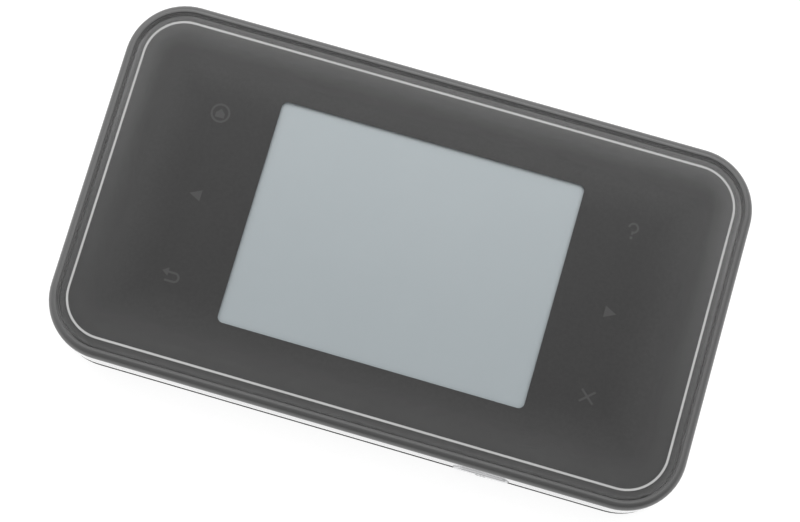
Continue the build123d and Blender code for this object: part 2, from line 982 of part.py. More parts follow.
pieces = {
    "touch_lens": touch_lens(),
    "accent_ring": accent_ring(),
    "lens_mask": lens_mask(),
    "key_symbols": key_symbols(),
    "lens_adhesive": lens_adhesive(),
    "front_bezel": front_bezel(),
    "lcd_frame": lcd_frame(),
    "lcd_panel": lcd_panel(),
    "lcd_gasket": lcd_gasket(),
    "lcd_flex": lcd_flex(),
    "flex_connector": flex_connector(),
    "left_key_board": key_board(-1),
    "right_key_board": key_board(1),
    "left_key_reflector": key_reflector(-1),
    "right_key_reflector": key_reflector(1),
    "key_leds": key_leds(),
    "mid_plate": mid_plate(),
    "main_board": main_board(),
    "modem_shield": modem_shield(),
    "wifi_shield": wifi_shield(),
    "radio_chips": radio_chips(),
    "power_components": power_components(),
    "battery": battery(),
    "battery_pads": battery_pads(),
    "battery_contacts": battery_contacts(),
    "sim_card": sim_card(),
    "sim_socket": sim_socket(),
    "main_antenna": meander(*main_antenna_area(), 1),
    "diversity_antenna": meander(*diversity_antenna_area(), 1),
    "wifi_antenna": meander(*wifi_antenna_area(), 0),
    "antenna_springs": antenna_springs(),
    "usb_port": usb_port(),
    "usb_tongue": usb_tongue(),
    "power_button": power_button(),
    "power_switch": power_switch(),
    "switch_plunger": switch_plunger(),
    "side_band": side_band(),
    "rear_housing": rear_housing(),
    "case_screws": case_screws(),
    "back_cover": back_cover(),
    "rubber_feet": rubber_feet(),
}

os.makedirs("parts", exist_ok=True)
for name, piece in pieces.items():
    save(piece, name)
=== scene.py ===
"""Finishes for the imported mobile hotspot, and the thin printed and moulded pieces that belong on it.

Lengths are in metres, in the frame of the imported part: X along the long sides, +Y towards the top of
the display, +Z out of the face, and Z = 0 in the plane of the rubber feet.
"""

import math

import bmesh
import bpy
from mathutils import Matrix, Vector


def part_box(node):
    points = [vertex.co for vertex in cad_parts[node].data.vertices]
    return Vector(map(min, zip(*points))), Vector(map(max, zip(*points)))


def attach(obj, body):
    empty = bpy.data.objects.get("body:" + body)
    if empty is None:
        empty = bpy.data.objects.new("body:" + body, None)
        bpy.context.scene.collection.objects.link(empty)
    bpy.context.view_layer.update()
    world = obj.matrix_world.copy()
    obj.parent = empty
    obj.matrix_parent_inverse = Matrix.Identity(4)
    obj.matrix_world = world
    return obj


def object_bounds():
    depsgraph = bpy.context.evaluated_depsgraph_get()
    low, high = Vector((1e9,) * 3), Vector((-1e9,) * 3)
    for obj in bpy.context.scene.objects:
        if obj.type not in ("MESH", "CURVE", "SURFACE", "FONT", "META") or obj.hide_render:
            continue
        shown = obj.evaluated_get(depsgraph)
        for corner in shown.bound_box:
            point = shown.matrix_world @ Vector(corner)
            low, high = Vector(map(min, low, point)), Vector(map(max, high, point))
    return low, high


bl_info = {
    "name": "Mobile Hotspot Finishes",
    "version": (1, 0, 0),
    "blender": (4, 5, 0),
    "location": "3D View > Sidebar > Hotspot",
    "description": "Gives the packed mobile hotspot its finishes and its small printed pieces",
    "category": "Object",
}

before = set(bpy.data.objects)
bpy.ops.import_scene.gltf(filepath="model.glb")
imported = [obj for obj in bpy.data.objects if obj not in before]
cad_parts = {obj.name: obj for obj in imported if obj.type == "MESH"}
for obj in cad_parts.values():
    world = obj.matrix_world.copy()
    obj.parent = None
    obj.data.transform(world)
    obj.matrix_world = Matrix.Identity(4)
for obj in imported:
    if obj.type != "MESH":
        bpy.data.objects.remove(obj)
CAD_LOW, CAD_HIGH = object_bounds()

MM = 0.001

BLACK = (0.0, 0.0, 0.0)
WHITE = (1.0, 1.0, 1.0)
DUST = (0.55, 0.54, 0.52)
METAL_DUST = (0.45, 0.45, 0.44)
RUBBER_DUST = (0.4, 0.39, 0.37)

AMBER = (0.42, 0.19, 0.04)
IVORY = (0.58, 0.54, 0.46)
AGED_IVORY = (0.55, 0.51, 0.44)
BLACK_NYLON = (0.03, 0.03, 0.03)
BLACK_RESIN = (0.02, 0.02, 0.02)
FERRITE = (0.12, 0.12, 0.12)
GREY_FOAM = (0.09, 0.09, 0.092)
WELL_WHITE = (0.74, 0.74, 0.72)
PAPER_WHITE = (0.72, 0.72, 0.7)
CARD_WHITE = (0.78, 0.78, 0.78)
LAMP_YELLOW = (0.78, 0.74, 0.5)
BUTTON_INK = (0.05, 0.05, 0.052)
POLARITY_INK = (0.6, 0.6, 0.6)

# How much of a grain's tone counts: where it starts to show, and where it is full.
GRAIN_TONE = (0.3, 1.0)
COARSE_TONE = (0.4, 1.1)
PRINT_ROUGHNESS = (0.5, 0.6)
PRINT_GRAIN_DEPTH = 0.000001

# Where a change starts and ends, in metres beyond the thin outline and below zero inside it.
FILM_FADE = (-0.013, 0.0005)
LENS_GLOSS = (-0.006, -0.0012)
TOP_LIGHT_FADE = (-0.004, 0.0016)
BORDER_STEP = (-0.00015, 0.00005)
BORDER_FADE = (0.0, 0.0016)
LAST_STRIP_LIGHT = (0.0006, 0.0015)
GROOVE_STEP = (0.0021, 0.0018)

# Where the painted light that makes the film paler towards the top of the face starts, and where it is
# strongest, in Y.
FACE_LIGHT_RISE = (-0.03, 0.03)
STRIP_LIGHT_RISE = (-0.015, 0.026)

# Each part of the room's light: where it starts and is full, then its level at either end.
CEILING = (0.0, 0.9, 0.5, 0.75)
WINDOW = (0.1, 0.5, 0.0, 1.9)
WINDOW_SILL = (0.3, 0.55)
BACK_WALL = (-0.1, -0.8, 0.0, 0.3)
SIDE_WALL = (0.1, -0.9, 0.0, 0.35)


# ---------------------------------------------------------------- node trees


def add(tree, kind, inputs=None, **settings):
    """Adds one node. An input is set to a plain value, or linked when it is given another socket."""
    node = tree.nodes.new(kind)
    for name, value in settings.items():
        setattr(node, name, value)
    for key, value in (inputs or {}).items():
        if isinstance(value, bpy.types.NodeSocket):
            tree.links.new(value, node.inputs[key])
        else:
            node.inputs[key].default_value = value
    return node


def maths(tree, operation, first, second=0.0, clamp=False):
    """One sum on plain or linked numbers, as a socket."""
    node = add(tree, "ShaderNodeMath", {0: first, 1: second}, operation=operation, use_clamp=clamp)
    return node.outputs[0]


def ramp(tree, value, low, high, start=0.0, end=1.0):
    """A smooth step of value between low and high, running from start to end."""
    inputs = {"Value": value, "From Min": low, "From Max": high, "To Min": start, "To Max": end}
    return add(tree, "ShaderNodeMapRange", inputs, interpolation_type="SMOOTHSTEP").outputs[0]


def blend(tree, part, first, second):
    """A colour part of the way from first to second."""
    node = add(tree, "ShaderNodeMix", data_type="RGBA", clamp_factor=True)
    for key, value in ((0, part), (6, first), (7, second)):
        if isinstance(value, bpy.types.NodeSocket):
            tree.links.new(value, node.inputs[key])
        else:
            node.inputs[key].default_value = value if key == 0 else solid(value)
    return node.outputs[2]


def tint(tree, body, mask, most, towards):
    """The body colour moved towards another where the mask is, by at most this much."""
    return blend(tree, maths(tree, "MULTIPLY", mask, most), body, towards)


def solid(colour):
    """A colour with full opacity."""
    return (*tuple(colour)[:3], 1.0)


def noise(tree, place, scale, detail=2.0, roughness=0.5):
    """Soft noise around a place, from 0 to 1."""
    inputs = {"Vector": place, "Scale": scale, "Detail": detail, "Roughness": roughness}
    return add(tree, "ShaderNodeTexNoise", inputs).outputs["Fac"]


def stretched(tree, place, scale):
    """A place with its axes scaled, for streaks and grids."""
    inputs = {0: place, 1: scale}
    return add(tree, "ShaderNodeVectorMath", inputs, operation="MULTIPLY").outputs[0]


def object_place(tree):
    """Where a point of the piece is, in the frame of the part."""
    return add(tree, "ShaderNodeTexCoord").outputs["Object"]


# ---------------------------------------------------------------- shared effects


def shared(name, inputs, outputs, build):
    """A shader node group, built the first time that a material asks for it."""
    group = bpy.data.node_groups.get(name)
    if group is not None:
        return group
    group = bpy.data.node_groups.new(name, "ShaderNodeTree")
    for label, default in inputs:
        socket = group.interface.new_socket(label, in_out="INPUT", socket_type="NodeSocketFloat")
        socket.default_value = default
    for label in outputs:
        group.interface.new_socket(label, in_out="OUTPUT", socket_type="NodeSocketFloat")
    start = group.nodes.new("NodeGroupInput")
    end = group.nodes.new("NodeGroupOutput")
    for label, socket in build(group, start.outputs).items():
        group.links.new(socket, end.inputs[label])
    return group


def use(tree, group, **values):
    """Places a shared effect in a material with its own values, and returns its outputs."""
    inputs = {label.replace("_", " ").capitalize(): value for label, value in values.items()}
    return add(tree, "ShaderNodeGroup", inputs, node_tree=group).outputs


def moulded_grain():
    """The fine spark-eroded grain of moulded plastic, and slow changes of tone across it."""

    def build(tree, given):
        place = object_place(tree)
        grain = noise(tree, place, given["Scale"], 3.0, 0.6)
        slow = noise(tree, place, maths(tree, "MULTIPLY", given["Scale"], 0.02), 2.0)
        return {"Height": grain, "Tone": maths(tree, "ADD", maths(tree, "MULTIPLY", grain, 0.35), slow)}

    return shared("Moulded grain", [("Scale", 6000.0)], ["Height", "Tone"], build)


def edge_wear():
    """Where corners are rubbed: the difference between the true and a rounded normal, broken up."""

    def build(tree, given):
        rounded = add(tree, "ShaderNodeBevel", {"Radius": given["Radius"]}, samples=4).outputs["Normal"]
        true = add(tree, "ShaderNodeNewGeometry").outputs["Normal"]
        likeness = add(tree, "ShaderNodeVectorMath", {0: rounded, 1: true}, operation="DOT_PRODUCT")
        corner = ramp(tree, likeness.outputs["Value"], 0.99, 0.85)
        patches = ramp(tree, noise(tree, object_place(tree), 900.0, 4.0), 0.35, 0.75)
        return {"Mask": maths(tree, "MULTIPLY", corner, patches)}

    return shared("Edge wear", [("Radius", 0.0002)], ["Mask"], build)


def handling_marks():
    """Settled dust specks, and the faint smears that fingers leave."""

    def build(tree, given):
        place = object_place(tree)
        cell = add(tree, "ShaderNodeTexVoronoi", {"Vector": place, "Scale": given["Scale"]})
        speck = ramp(tree, cell.outputs["Distance"], 0.09, 0.03)
        spread = ramp(tree, noise(tree, place, 90.0, 3.0), 0.5, 0.7)
        smear = noise(tree, stretched(tree, place, (60.0, 180.0, 60.0)), 1.0, 5.0, 0.6)
        return {"Dust": maths(tree, "MULTIPLY", speck, spread), "Smear": ramp(tree, smear, 0.35, 0.7)}

    return shared("Handling marks", [("Scale", 700.0)], ["Dust", "Smear"], build)


def rolled_lines():
    """The fine lines that rolling or polishing leaves along X."""

    def build(tree, given):
        place = stretched(tree, object_place(tree), (90.0, 9000.0, 9000.0))
        fine = noise(tree, place, given["Scale"], 4.0, 0.6)
        broad = noise(tree, object_place(tree), 120.0, 2.0)
        return {"Height": fine, "Tone": maths(tree, "ADD", maths(tree, "MULTIPLY", fine, 0.5), broad)}

    return shared("Rolled lines", [("Scale", 1.0)], ["Height", "Tone"], build)


def outline_distance():
    """How far a point in plan lies outside a rounded rectangle, below zero inside it."""

    def build(tree, given):
        place = add(tree, "ShaderNodeSeparateXYZ", {0: object_place(tree)}).outputs
        beyond = []
        for axis, half in (("X", "Half length"), ("Y", "Half width")):
            straight = maths(tree, "SUBTRACT", given[half], given["Corner"])
            beyond.append(maths(tree, "SUBTRACT", maths(tree, "ABSOLUTE", place[axis]), straight))
        outside = [maths(tree, "MAXIMUM", side, 0.0) for side in beyond]
        squares = [maths(tree, "MULTIPLY", side, side) for side in outside]
        reach = maths(tree, "SQRT", maths(tree, "ADD", *squares))
        inside = maths(tree, "MINIMUM", maths(tree, "MAXIMUM", *beyond), 0.0)
        total = maths(tree, "ADD", reach, inside)
        return {"Distance": maths(tree, "SUBTRACT", total, given["Corner"])}

    inputs = [("Half length", 0.049), ("Half width", 0.0266), ("Corner", 0.00665)]
    return shared("Outline distance", inputs, ["Distance"], build)


# ---------------------------------------------------------------- finishes


def new_finish(name):
    """A material with its node tree and its Principled shader."""
    material = bpy.data.materials.new(name)
    material.use_nodes = True
    tree = material.node_tree
    return material, tree, tree.nodes["Principled BSDF"]


def set_plain(shader, **values):
    """Sets sockets of a shader that are the same all over the surface."""
    for label, value in values.items():
        shader.inputs[label.replace("_", " ")].default_value = value


def bump(tree, shader, height, depth):
    """Raises the surface by a height from 0 to 1 times depth in metres."""
    node = add(tree, "ShaderNodeBump", {"Height": height, "Distance": depth})
    tree.links.new(node.outputs["Normal"], shader.inputs["Normal"])


def smeared_gloss(tree, shader, marks, clean, smeared):
    """Roughness that changes from clean to smeared where fingers have been."""
    gloss = ramp(tree, marks["Smear"], 0.0, 1.0, clean, smeared)
    tree.links.new(gloss, shader.inputs["Roughness"])


def lighter(colour, part):
    """A colour moved part of the way to white."""
    return tuple(c + (1.0 - c) * part for c in tuple(colour)[:3])


def darker(colour, part):
    """A colour moved part of the way to black."""
    return tuple(c * (1.0 - part) for c in tuple(colour)[:3])


def moulded_plastic(
    name, colour, roughness, scale=6000.0, depth=0.000012, wear=0.25, dust=0.12, coat=0.0
):
    """Moulded plastic: grain, rubbed corners, dust in the texture and smears that change the gloss."""
    material, tree, shader = new_finish(name)
    grain = use(tree, moulded_grain(), scale=scale)
    marks = use(tree, handling_marks(), scale=700.0)
    worn = use(tree, edge_wear(), radius=0.00018)["Mask"]
    tone = ramp(tree, grain["Tone"], *GRAIN_TONE)
    body = blend(tree, tone, darker(colour, 0.12), colour)
    body = tint(tree, body, worn, wear, lighter(colour, 0.2))
    body = tint(tree, body, marks["Dust"], dust, DUST)
    tree.links.new(body, shader.inputs["Base Color"])
    gloss = ramp(tree, marks["Smear"], 0.0, 1.0, roughness - 0.04, roughness + 0.06)
    gloss = maths(tree, "SUBTRACT", gloss, maths(tree, "MULTIPLY", worn, 0.08), clamp=True)
    tree.links.new(gloss, shader.inputs["Roughness"])
    bump(tree, shader, grain["Height"], depth)
    set_plain(shader, Coat_Weight=coat, Coat_Roughness=0.12)
    return material


def sheet_metal(name, colour, roughness, depth=0.000004, tarnish=0.2):
    """Rolled or plated sheet: fine lines, slow tarnish and rubbed bright corners."""
    material, tree, shader = new_finish(name)
    lines = use(tree, rolled_lines(), scale=1.0)
    marks = use(tree, handling_marks(), scale=500.0)
    worn = use(tree, edge_wear(), radius=0.00015)["Mask"]
    tone = ramp(tree, lines["Tone"], *COARSE_TONE)
    body = blend(tree, tone, darker(colour, tarnish), colour)
    body = tint(tree, body, worn, 0.5, lighter(colour, 0.4))
    tree.links.new(body, shader.inputs["Base Color"])
    smeared_gloss(tree, shader, marks, roughness - 0.06, roughness + 0.08)
    bump(tree, shader, lines["Height"], depth)
    set_plain(shader, Metallic=1.0)
    return material


def polished_silver(name, colour, roughness):
    """Polished, clear-coated silver with hairlines, faint smears and a few dust specks."""
    material, tree, shader = new_finish(name)
    lines = use(tree, rolled_lines(), scale=1.6)
    marks = use(tree, handling_marks(), scale=420.0)
    tone = ramp(tree, lines["Tone"], *COARSE_TONE)
    body = blend(tree, tone, darker(colour, 0.05), colour)
    body = tint(tree, body, marks["Dust"], 0.2, METAL_DUST)
    tree.links.new(body, shader.inputs["Base Color"])
    smeared_gloss(tree, shader, marks, roughness, roughness + 0.1)
    bump(tree, shader, lines["Height"], 0.0000015)
    set_plain(shader, Metallic=1.0, Coat_Weight=0.4, Coat_Roughness=0.06)
    return material


def soft_rubber(name, colour, roughness, scale=3500.0, depth=0.00003):
    """Rubber or foam: open matt texture, greyed on top by dust."""
    material, tree, shader = new_finish(name)
    grain = use(tree, moulded_grain(), scale=scale)
    marks = use(tree, handling_marks(), scale=900.0)
    tone = ramp(tree, grain["Tone"], *COARSE_TONE)
    body = blend(tree, tone, darker(colour, 0.25), lighter(colour, 0.03))
    body = tint(tree, body, marks["Dust"], 0.35, RUBBER_DUST)
    tree.links.new(body, shader.inputs["Base Color"])
    smeared_gloss(tree, shader, marks, roughness - 0.05, roughness + 0.05)
    bump(tree, shader, grain["Height"], depth)
    return material


def circuit_board(name, colour, copper):
    """Solder mask over copper tracks: tracks show as paler lines, with plated holes between them."""
    material, tree, shader = new_finish(name)
    place = object_place(tree)
    tracks = add(
        tree,
        "ShaderNodeTexBrick",
        {"Vector": place, "Scale": 260.0, "Mortar Size": 0.045, "Brick Width": 0.9, "Row Height": 0.22},
        offset=0.5,
    ).outputs["Fac"]
    area = ramp(tree, noise(tree, place, 140.0), 0.42, 0.5)
    tracks = maths(tree, "MULTIPLY", tracks, area)
    holes = add(tree, "ShaderNodeTexVoronoi", {"Vector": place, "Scale": 420.0}).outputs["Distance"]
    holes = ramp(tree, holes, 0.14, 0.1)
    body = blend(tree, tracks, colour, lighter(colour, 0.1))
    body = blend(tree, holes, body, copper)
    tree.links.new(body, shader.inputs["Base Color"])
    tree.links.new(maths(tree, "MULTIPLY", holes, 0.9), shader.inputs["Metallic"])
    tree.links.new(ramp(tree, tracks, 0.0, 1.0, 0.38, 0.28), shader.inputs["Roughness"])
    bump(tree, shader, maths(tree, "SUBTRACT", tracks, holes), 0.00002)
    set_plain(shader, Coat_Weight=0.3, Coat_Roughness=0.15)
    return material


def beyond_outline(tree, corner):
    """How far a point in plan lies outside the thin pale outline."""
    _, line_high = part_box("accent_ring")
    sizes = {"half_length": line_high.x, "half_width": line_high.y, "corner": corner}
    return use(tree, outline_distance(), **sizes)["Distance"]


def glaze(shader, ior, roughness):
    """The lens's gloss over what lies flat against it: one clear coat, and no second mirror under it."""
    set_plain(shader, Specular_IOR_Level=0.0, Coat_Weight=1.0, Coat_IOR=ior, Coat_Roughness=roughness)


def near_edge(tree, beyond):
    """Where the lens's own top carries the gloss, from just inside the thin outline to its rim."""
    return ramp(tree, beyond, *LENS_GLOSS)


def printed_ink(name, colour, lens):
    """Print behind the lens, with a fine grain under the lens's gloss."""
    material, tree, shader = new_finish(name)
    grain = use(tree, moulded_grain(), scale=5200.0)
    tone = ramp(tree, grain["Tone"], *GRAIN_TONE)
    tree.links.new(blend(tree, tone, colour, darker(colour, 0.05)), shader.inputs["Base Color"])
    tree.links.new(ramp(tree, tone, 0.0, 1.0, *PRINT_ROUGHNESS), shader.inputs["Roughness"])
    bump(tree, shader, grain["Height"], PRINT_GRAIN_DEPTH)
    glaze(shader, *lens)
    return material


def printed_mask(name, colour, edge_colour, border_colour, corner, lens):
    """The dark printed film behind the lens, paler towards its edge, with painted light that makes it
    paler still along the top.
    """
    material, tree, shader = new_finish(name)
    beyond = beyond_outline(tree, corner)
    grain = use(tree, moulded_grain(), scale=5200.0)
    tone = ramp(tree, grain["Tone"], *GRAIN_TONE)
    body = blend(tree, ramp(tree, beyond, *FILM_FADE), colour, edge_colour)
    # Across the border the film gets paler towards the bezel: painted light that makes up for the shade
    # which the ridge and the lens's edge cast there.
    outer = blend(tree, ramp(tree, beyond, *BORDER_FADE), border_colour, lighter(border_colour, 0.06))
    body = blend(tree, ramp(tree, beyond, *BORDER_STEP), body, outer)
    place = object_place(tree)
    mottle = ramp(tree, noise(tree, place, 1700.0, 3.0, 0.6), 0.3, 0.7)
    body = tint(tree, body, tone, 0.08, BLACK)
    body = tint(tree, body, mottle, 0.14, BLACK)
    # Painted light: near its edge the film gets paler towards the top of the face, and paler still in
    # the last strip along the top edge.
    up = add(tree, "ShaderNodeSeparateXYZ", {0: place}).outputs["Y"]
    top = maths(tree, "MULTIPLY", ramp(tree, beyond, *TOP_LIGHT_FADE), ramp(tree, up, *FACE_LIGHT_RISE))
    body = tint(tree, body, top, 0.055, WHITE)
    strip = maths(tree, "MULTIPLY", ramp(tree, beyond, *LAST_STRIP_LIGHT), ramp(tree, up, *STRIP_LIGHT_RISE))
    body = tint(tree, body, strip, 0.13, WHITE)
    tree.links.new(body, shader.inputs["Base Color"])
    tree.links.new(ramp(tree, tone, 0.0, 1.0, *PRINT_ROUGHNESS), shader.inputs["Roughness"])
    bump(tree, shader, grain["Height"], PRINT_GRAIN_DEPTH)
    glaze(shader, *lens)
    coat = maths(tree, "SUBTRACT", 1.0, near_edge(tree, beyond))
    tree.links.new(coat, shader.inputs["Coat Weight"])
    return material


def satin_rim(name, colour, groove_light_colour, roughness, corner):
    """Satin moulded plastic, matt on the wall of the groove beside the lens, where painted light also
    makes it paler.
    """
    material, tree, shader = new_finish(name)
    grain = use(tree, moulded_grain(), scale=9000.0)
    marks = use(tree, handling_marks(), scale=700.0)
    tone = ramp(tree, grain["Tone"], *GRAIN_TONE)
    body = blend(tree, tone, darker(colour, 0.05), colour)
    body = tint(tree, body, marks["Dust"], 0.03, DUST)
    groove = ramp(tree, beyond_outline(tree, corner), *GROOVE_STEP)
    # Painted light: the groove's wall is paler than the rest of the rim, standing in for light that
    # comes in through the lens's edge.
    tree.links.new(blend(tree, groove, body, groove_light_colour), shader.inputs["Base Color"])
    gloss = ramp(tree, marks["Smear"], 0.0, 1.0, roughness - 0.005, roughness + 0.01)
    gloss = maths(tree, "ADD", gloss, maths(tree, "MULTIPLY", groove, 0.4))
    tree.links.new(gloss, shader.inputs["Roughness"])
    bump(tree, shader, grain["Height"], 0.000002)
    set_plain(shader, IOR=1.85)
    return material


def clear_lens(name, ior, roughness, corner):
    """Thin clear cover: it shows the glazed film unbent, and mirrors the room near and on its edges."""
    material, tree, shader = new_finish(name)
    marks = use(tree, handling_marks(), scale=300.0)
    smeared_gloss(tree, shader, marks, roughness, roughness + 0.05)
    set_plain(shader, Base_Color=(1.0, 1.0, 1.0, 1.0), Metallic=1.0)
    clear = add(tree, "ShaderNodeBsdfTransparent", {"Color": (0.99, 0.99, 0.99, 1.0)})
    mirror = add(tree, "ShaderNodeFresnel", {"IOR": ior}).outputs[0]
    surface = add(tree, "ShaderNodeNewGeometry").outputs
    up = add(tree, "ShaderNodeSeparateXYZ", {0: surface["True Normal"]}).outputs["Z"]
    upward = ramp(tree, up, 0.2, 0.4)
    facing = maths(tree, "MULTIPLY", upward, near_edge(tree, beyond_outline(tree, corner)))
    outer = maths(tree, "SUBTRACT", facing, surface["Backfacing"], clamp=True)
    mirrored = maths(tree, "MULTIPLY", mirror, outer)
    mixed = add(tree, "ShaderNodeMixShader", {0: mirrored, 1: clear.outputs[0], 2: shader.outputs[0]})
    tree.links.new(mixed.outputs[0], tree.nodes["Material Output"].inputs["Surface"])
    return material


def display_face(name, colour, roughness, lens):
    """An unlit display: pale grey with a very fine grid of dots, and painted light: a tone that slopes
    across it, paler towards the top.
    """
    material, tree, shader = new_finish(name)
    place = object_place(tree)
    low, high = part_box("lcd_panel")
    wide = stretched(tree, place, (1.0 / (high.x - low.x), 1.0 / (high.y - low.y), 0.0))
    along = add(tree, "ShaderNodeSeparateXYZ", {0: wide}).outputs
    # Painted light: the tone gets paler towards the top and a little towards the left.
    painted_light_slope = maths(tree, "SUBTRACT", along["Y"], maths(tree, "MULTIPLY", along["X"], 0.15))
    dots = add(
        tree,
        "ShaderNodeTexBrick",
        {"Vector": place, "Scale": 6500.0, "Mortar Size": 0.09, "Brick Width": 1.0, "Row Height": 1.0},
        offset=0.0,
    ).outputs["Fac"]
    cloud = noise(tree, place, 60.0, 3.0)
    tone = ramp(tree, maths(tree, "ADD", painted_light_slope, maths(tree, "MULTIPLY", cloud, 0.3)), -0.5, 0.8)
    body = blend(tree, tone, darker(colour, 0.09), lighter(colour, 0.03))
    body = tint(tree, body, dots, 0.04, darker(colour, 0.4))
    tree.links.new(body, shader.inputs["Base Color"])
    gloss = ramp(tree, cloud, 0.3, 0.7, roughness - 0.04, roughness + 0.04)
    tree.links.new(gloss, shader.inputs["Roughness"])
    bump(tree, shader, dots, PRINT_GRAIN_DEPTH)
    glaze(shader, *lens)
    return material


def printed_label(name, paper, ink, low, high):
    """A plain printed label: paper with a header bar and a ruled block, and no words."""
    material, tree, shader = new_finish(name)
    place = object_place(tree)
    size = (1.0 / (high.x - low.x), 1.0 / (high.y - low.y), 0.0)
    middle = ((low.x + high.x) / 2, (low.y + high.y) / 2, 0.0)
    centred = add(tree, "ShaderNodeVectorMath", {0: place, 1: middle}, operation="SUBTRACT").outputs[0]
    # Edges of the print as parts of the label's size, each a short step from one value to the next.
    header_foot, header_head, side_margin = (0.24, 0.245), (0.4, 0.395), (0.445, 0.44)
    ruled_height, rule_width, rule_count = (0.2, 0.195), (0.84, 0.88), 18.0
    spot = add(tree, "ShaderNodeSeparateXYZ", {0: stretched(tree, centred, size)}).outputs
    across = maths(tree, "ABSOLUTE", spot["X"])
    foot = ramp(tree, spot["Y"], *header_foot)
    header = maths(tree, "MULTIPLY", foot, ramp(tree, across, *side_margin))
    header = maths(tree, "MULTIPLY", header, ramp(tree, spot["Y"], *header_head))
    rules = maths(tree, "FRACT", maths(tree, "MULTIPLY", spot["Y"], rule_count))
    rules = maths(tree, "MULTIPLY", ramp(tree, rules, *rule_width), ramp(tree, across, *side_margin))
    block = ramp(tree, maths(tree, "ABSOLUTE", spot["Y"]), *ruled_height)
    rules = maths(tree, "MULTIPLY", rules, block)
    print_mask = maths(tree, "MAXIMUM", header, rules)
    grain = use(tree, moulded_grain(), scale=4200.0)
    body = blend(tree, ramp(tree, grain["Tone"], *GRAIN_TONE), darker(paper, 0.07), paper)
    body = blend(tree, print_mask, body, ink)
    tree.links.new(body, shader.inputs["Base Color"])
    tree.links.new(ramp(tree, print_mask, 0.0, 1.0, 0.42, 0.55), shader.inputs["Roughness"])
    bump(tree, shader, grain["Height"], 0.000006)
    return material


def studio_floor(name, colour, shade, glow):
    """Seamless pale paper, lit from behind so that shadows on it stay faint, and open from below."""
    material, tree, shader = new_finish(name)
    fibres = noise(tree, object_place(tree), 900.0, 4.0)
    body = blend(tree, fibres, darker(colour, 0.02), colour)
    tree.links.new(blend(tree, shade, BLACK, body), shader.inputs["Base Color"])
    tree.links.new(body, shader.inputs["Emission Color"])
    set_plain(shader, Roughness=0.9, Emission_Strength=glow)
    bump(tree, shader, fibres, 0.00002)
    under = add(tree, "ShaderNodeNewGeometry").outputs["Backfacing"]
    clear = add(tree, "ShaderNodeBsdfTransparent").outputs[0]
    mixed = add(tree, "ShaderNodeMixShader", {0: under, 1: shader.outputs[0], 2: clear}).outputs[0]
    tree.links.new(mixed, tree.nodes["Material Output"].inputs["Surface"])
    return material


# ---------------------------------------------------------------- thin pieces


def dress(node, material):
    """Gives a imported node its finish."""
    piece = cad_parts[node]
    piece.data.materials.clear()
    piece.data.materials.append(material)
    return piece


def rounded_rectangle(length, width, radius, steps=8):
    """The corner points of a rounded rectangle about the origin, anticlockwise."""
    points = []
    for quarter in range(4):
        sign_x = 1 if quarter in (0, 3) else -1
        sign_y = 1 if quarter in (0, 1) else -1
        middle = Vector((sign_x * (length / 2 - radius), sign_y * (width / 2 - radius)))
        for step in range(steps + 1):
            turn = math.pi / 2 * (quarter + step / steps)
            points.append(middle + radius * Vector((math.cos(turn), math.sin(turn))))
    return points


def circle(radius, steps=40):
    """Points round a circle about the origin, anticlockwise."""
    turns = [2 * math.pi * step / steps for step in range(steps)]
    return [Vector((radius * math.cos(turn), radius * math.sin(turn))) for turn in turns]


def prism(mesh, points, low, high, place):
    """A flat plate with this outline between two heights, moved by a matrix."""
    rings = []
    for height in (low, high):
        rings.append([mesh.verts.new(place @ Vector((p.x, p.y, height))) for p in points])
    mesh.faces.new(list(reversed(rings[0])))
    mesh.faces.new(rings[1])
    count = len(points)
    for i in range(count):
        after = (i + 1) % count
        mesh.faces.new((rings[0][i], rings[0][after], rings[1][after], rings[1][i]))


def hoop(mesh, outer, inner, low, high, place, start=0, end=None):
    """A plate between two outlines with the same number of points: whole, or from point start to end."""
    count = len(outer)
    end = count if end is None else end
    whole = end - start == count
    sections = []
    for i in range(start, end if whole else end + 1):
        corners = ((inner, low), (outer, low), (outer, high), (inner, high))
        sections.append(
            [mesh.verts.new(place @ Vector((*line[i % count], height))) for line, height in corners]
        )
    pairs = list(zip(sections, sections[1:]))
    if whole:
        pairs.append((sections[-1], sections[0]))
    for before, after in pairs:
        for k in range(4):
            mesh.faces.new((before[k], after[k], after[(k + 1) % 4], before[(k + 1) % 4]))
    if not whole:
        mesh.faces.new(sections[0])
        mesh.faces.new(list(reversed(sections[-1])))


def new_piece(name, mesh, material, body, soften=0.0):
    """Makes a piece of the mesh, with softened edges, and lets it ride on a body."""
    bmesh.ops.recalc_face_normals(mesh, faces=mesh.faces)
    data = bpy.data.meshes.new(name)
    mesh.to_mesh(data)
    mesh.free()
    piece = bpy.data.objects.new(name, data)
    bpy.context.scene.collection.objects.link(piece)
    data.materials.append(material)
    if soften:
        rounding = piece.modifiers.new("Softened edges", "BEVEL")
        rounding.width = soften
        rounding.segments = 2
        rounding.limit_method = "ANGLE"
        rounding.harden_normals = True
    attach(piece, body)
    return piece


def cross_outline(span, stroke):
    """A plus sign's outline, anticlockwise."""
    a, b = span / 2, stroke / 2
    points = [(a, -b), (a, b), (b, b), (b, a), (-b, a), (-b, b), (-a, b), (-a, -b), (-b, -b), (-b, -a)]
    points += [(b, -a), (b, -b)]
    return [Vector(p) for p in points]


def bar_outline(length, width):
    """A bar's outline, anticlockwise."""
    a, b = length / 2, width / 2
    return [Vector(p) for p in ((a, -b), (a, b), (-a, b), (-a, -b))]


# ---------------------------------------------------------------- settings


def length_field(name, description, default):
    """A length that a user may change, in metres."""
    return bpy.props.FloatProperty(
        name=name, description=description, default=default, unit="LENGTH", precision=5
    )


def angle_field(name, description, default):
    """An angle that a user may change, given in degrees."""
    return bpy.props.FloatProperty(
        name=name, description=description, default=math.radians(default), unit="ROTATION"
    )


def share_field(name, description, default, high=1.0):
    """A plain number from 0 to high that a user may change."""
    return bpy.props.FloatProperty(
        name=name, description=description, default=default, min=0.0, max=high
    )


def colour_field(name, description, default):
    """A colour that a user may change."""
    return bpy.props.FloatVectorProperty(
        name=name, description=description, default=default, subtype="COLOR", size=3, min=0.0, max=1.0
    )


